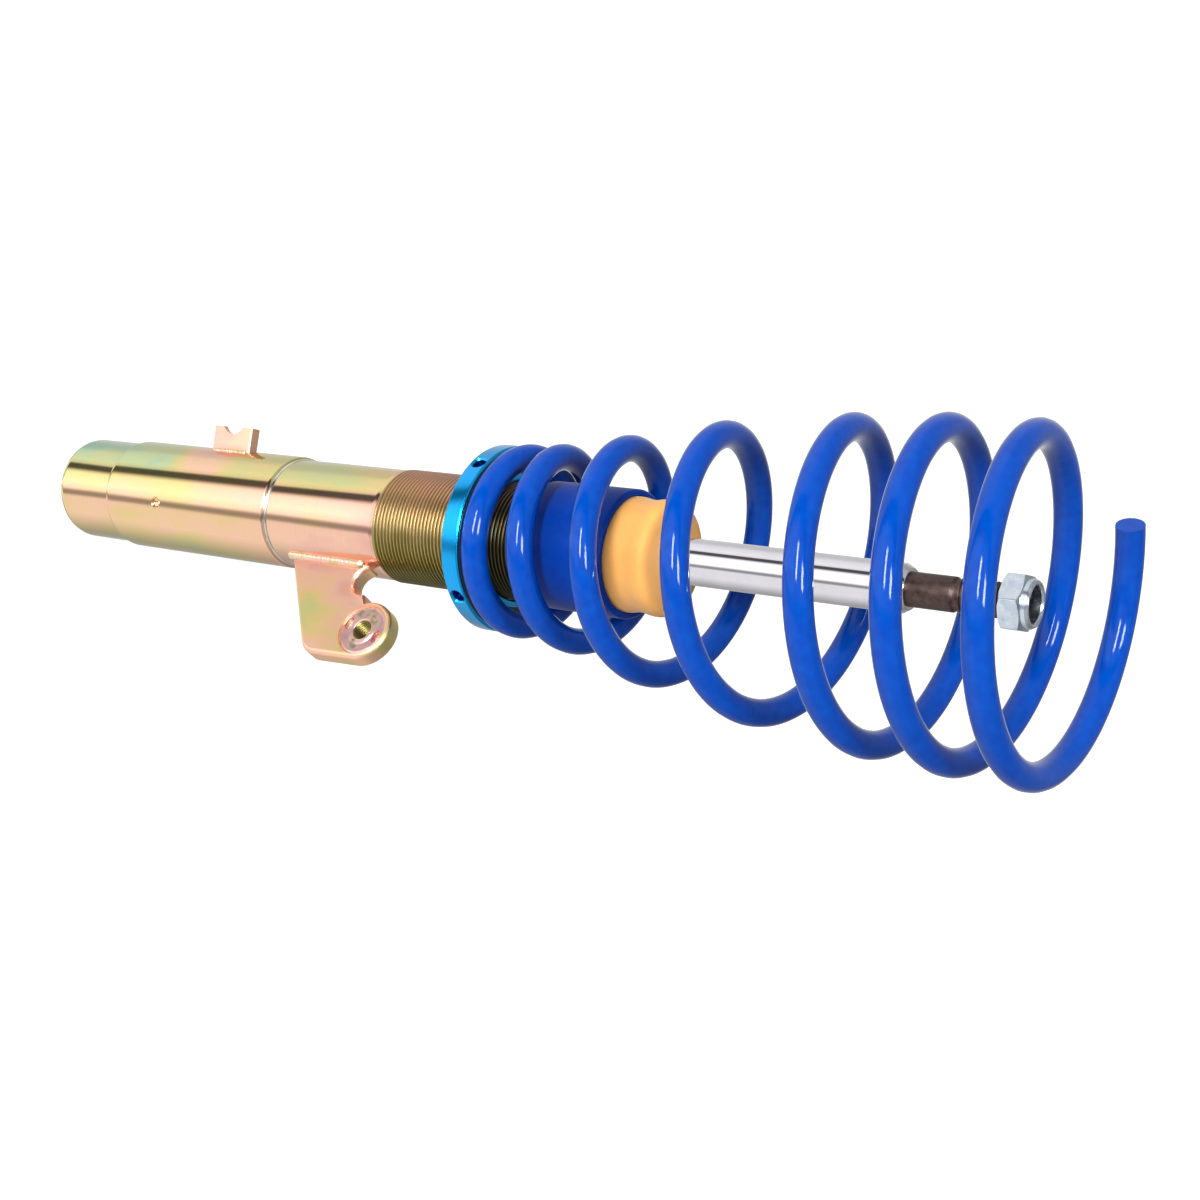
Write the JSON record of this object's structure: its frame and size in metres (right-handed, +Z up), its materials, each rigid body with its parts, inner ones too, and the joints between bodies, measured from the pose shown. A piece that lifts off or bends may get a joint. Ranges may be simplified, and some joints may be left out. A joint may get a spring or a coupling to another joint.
{
  "type": "coilover suspension strut",
  "caption": "Height-adjustable front suspension strut: clamp-mounted damper housing with welded brackets, threaded spring seat, pigtail coil spring, bump stop, dust sleeve and piston rod.",
  "frame": {"origin": "centre of the housing's flat bottom face, on the strut axis", "axes": "+Z up the strut axis from the clamped lower end to the piston rod's end; the brake-line bracket stands on -X and the link bracket on +X, swung towards -Y"},
  "size_m": [0.1389, 0.1391, 0.5473],
  "materials": {
    "yellow_zinc": "yellow zinc passivated, satin turned",
    "silver_zinc": "bright zinc plated",
    "chrome": "hard chrome, polished",
    "bright_steel": "plain machined",
    "dark_steel": "black oxide",
    "aluminium": "die cast, machined",
    "bronze_bush": "sintered bearing lining",
    "seal_rubber": "matt",
    "black_plastic": "satin",
    "cyan_anodised": "cyan anodised, satin turned",
    "blue_powder_coat": "gloss powder coat",
    "blue_sleeve": "satin moulded",
    "yellow_foam": "matt microcellular foam"
  },
  "bodies": {
    "housing": {"lower_tube": "yellow_zinc", "threaded_tube": "yellow_zinc", "base_cap": "yellow_zinc", "link_bracket": "yellow_zinc", "link_weld_nut": "yellow_zinc", "brake_line_bracket": "yellow_zinc", "pressure_tube": "bright_steel", "base_valve_body": "bright_steel", "base_valve_disc": "dark_steel", "check_spring": "bright_steel", "base_valve_bolt": "dark_steel", "rod_guide": "aluminium", "guide_bush": "bronze_bush", "guide_o_ring": "seal_rubber", "rod_seal": "seal_rubber", "gland_nut": "bright_steel", "wiper_seal": "seal_rubber"},
    "spring_seat": {"seat_washer": "black_plastic"},
    "collar": {"adjuster_collar": "cyan_anodised", "collar_lock_screw": "dark_steel"},
    "spring": {"main_spring": "blue_powder_coat"},
    "stroke_carriage": {"piston_band": "black_plastic"},
    "rod": {"piston_rod": "chrome", "rebound_stop_ring": "bright_steel", "rebound_cushion": "black_plastic", "piston": "bright_steel", "compression_shims": "dark_steel", "shim_backing_washer": "bright_steel", "rebound_shims": "dark_steel", "piston_nut": "bright_steel", "top_nut": "silver_zinc"},
    "stop": {"bump_stop": "yellow_foam", "dust_sleeve": "blue_sleeve"}
  },
  "joints": [
    {"name": "ride_height", "type": "slide", "parent": "housing", "child": "spring_seat", "axis": [0, 0, 1], "range_m": [-0.04, 0.012]},
    {"name": "collar_turn", "type": "hinge", "parent": "spring_seat", "child": "collar", "pos_m": [0, 0, 0.2738], "axis": [0, 0, 1], "range_deg": [-7201, 2161]},
    {"name": "spring_turn", "type": "hinge", "parent": "spring_seat", "child": "spring", "pos_m": [0, 0, 0.283], "axis": [0, 0, 1], "continuous": true},
    {"name": "damper_stroke", "type": "slide", "parent": "housing", "child": "stroke_carriage", "axis": [0, 0, 1], "range_m": [-0.105, 0], "stiffness_N_per_m": 250, "springref_m": 0.3},
    {"name": "rod_turn", "type": "hinge", "parent": "stroke_carriage", "child": "rod", "pos_m": [0, 0, 0.2], "axis": [0, 0, 1], "continuous": true},
    {"name": "bump_stop_slide", "type": "slide", "parent": "housing", "child": "stop", "axis": [0, 0, 1], "range_m": [0, 0.04]}
  ],
  "couplings": [
    {"joint": "collar_turn", "follows": "ride_height", "rad_per_m": 3141.6}
  ]
}
